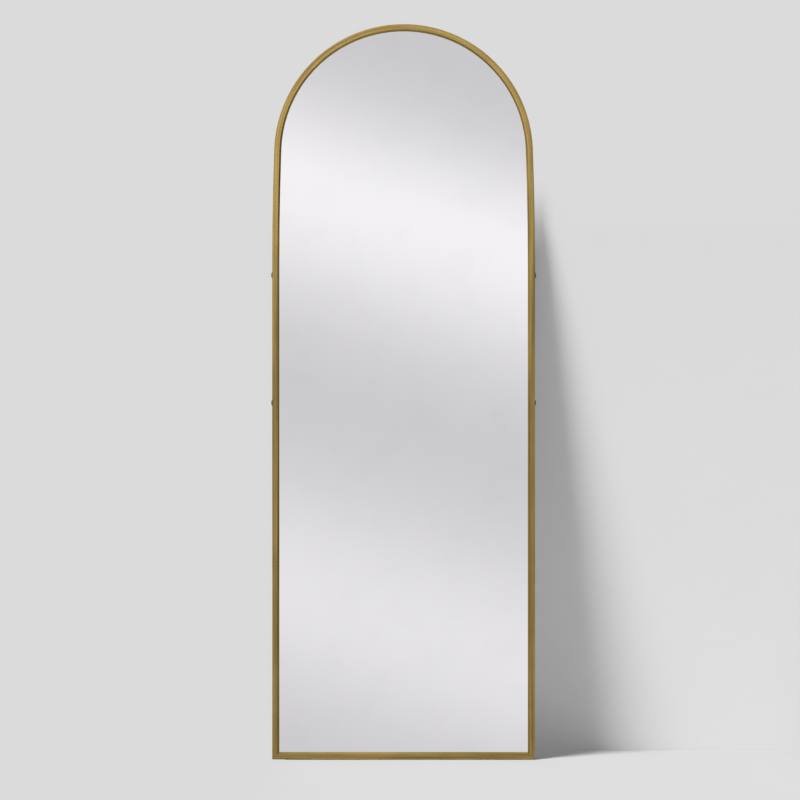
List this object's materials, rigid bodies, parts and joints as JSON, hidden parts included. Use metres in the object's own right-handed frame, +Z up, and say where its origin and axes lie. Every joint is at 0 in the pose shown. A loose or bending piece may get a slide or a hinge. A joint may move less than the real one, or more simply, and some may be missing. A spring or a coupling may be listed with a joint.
{
  "type": "leaning floor mirror",
  "caption": "Tall arched floor mirror in a thin brushed gold frame, with a fold-away stand hinged in its back.",
  "frame": {"origin": "on the floor, under the middle of the mirror's width and depth, with the mirror upright", "axes": "+Z up along the mirror's height, +Y from the glass to the back (the front faces -Y), +X to the right as seen from the front. In use the whole part leans back on the wall by about 4 degrees, or by about 10 degrees on its own stand."},
  "size_m": [0.6056, 0.032, 1.6798],
  "materials": {
    "brushed_gold": "brushed, gold anodised",
    "cast_aluminium": "cast",
    "dark_screws": "black oxide",
    "black_foam": "matt foam tape",
    "mirror": "silvered glass",
    "grey_film": "film",
    "white_foam": "foam",
    "backboard": "dark hardboard",
    "spring_steel": "blued spring steel",
    "black_rubber": "matt",
    "zinc_steel": "zinc plated",
    "bright_rivets": "satin",
    "black_steel": "black powder coat",
    "black_nylon": "moulded nylon"
  },
  "bodies": {
    "frame": {"arch_frame": "brushed_gold", "backboard": "backboard", "bottom_rail": "brushed_gold", "corner_key_left": "cast_aluminium", "corner_key_right": "cast_aluminium", "corner_screws": "dark_screws", "floor_pad_left": "black_rubber", "floor_pad_right": "black_rubber", "foam_pad": "white_foam", "glazing_tape": "black_foam", "hanger_plate_left": "zinc_steel", "hanger_plate_right": "zinc_steel", "hanger_rivets": "bright_rivets", "lower_bumpers": "black_rubber", "mirror_glass": "mirror", "pivot_bush_left": "black_nylon", "pivot_bush_right": "black_nylon", "safety_film": "grey_film", "spring_clips": "spring_steel", "stay_bush_left": "black_nylon", "stay_bush_right": "black_nylon", "stay_nut_left": "zinc_steel", "stay_nut_right": "zinc_steel", "stay_screw_left": "dark_screws", "stay_screw_right": "dark_screws", "upper_bumpers": "black_rubber"},
    "stand": {"stand_tube": "black_steel", "pivot_block_left": "black_steel", "pivot_block_right": "black_steel", "pivot_screw_left": "dark_screws", "pivot_screw_right": "dark_screws", "stay_pin_left": "zinc_steel", "stay_pin_right": "zinc_steel", "stand_foot_left": "black_rubber", "stand_foot_right": "black_rubber"},
    "left_stay": {"stay_left": "black_steel"},
    "right_stay": {"stay_right": "black_steel"}
  },
  "joints": [
    {"name": "stand_hinge", "type": "hinge", "parent": "frame", "child": "stand", "pos_m": [0, 0.0083, 1.107], "axis": [1, 0, 0], "range_deg": [0, 14]},
    {"name": "left_stay_hinge", "type": "hinge", "parent": "frame", "child": "left_stay", "pos_m": [-0.28585, 0.0083, 0.815], "axis": [1, 0, 0], "range_deg": [0, 27.5]},
    {"name": "right_stay_hinge", "type": "hinge", "parent": "frame", "child": "right_stay", "pos_m": [0.28585, 0.0083, 0.815], "axis": [1, 0, 0], "range_deg": [0, 27.5]}
  ],
  "couplings": [
    {"joint": "left_stay_hinge", "follows": "stand_hinge", "ratio": 1.958},
    {"joint": "right_stay_hinge", "follows": "stand_hinge", "ratio": 1.958}
  ]
}
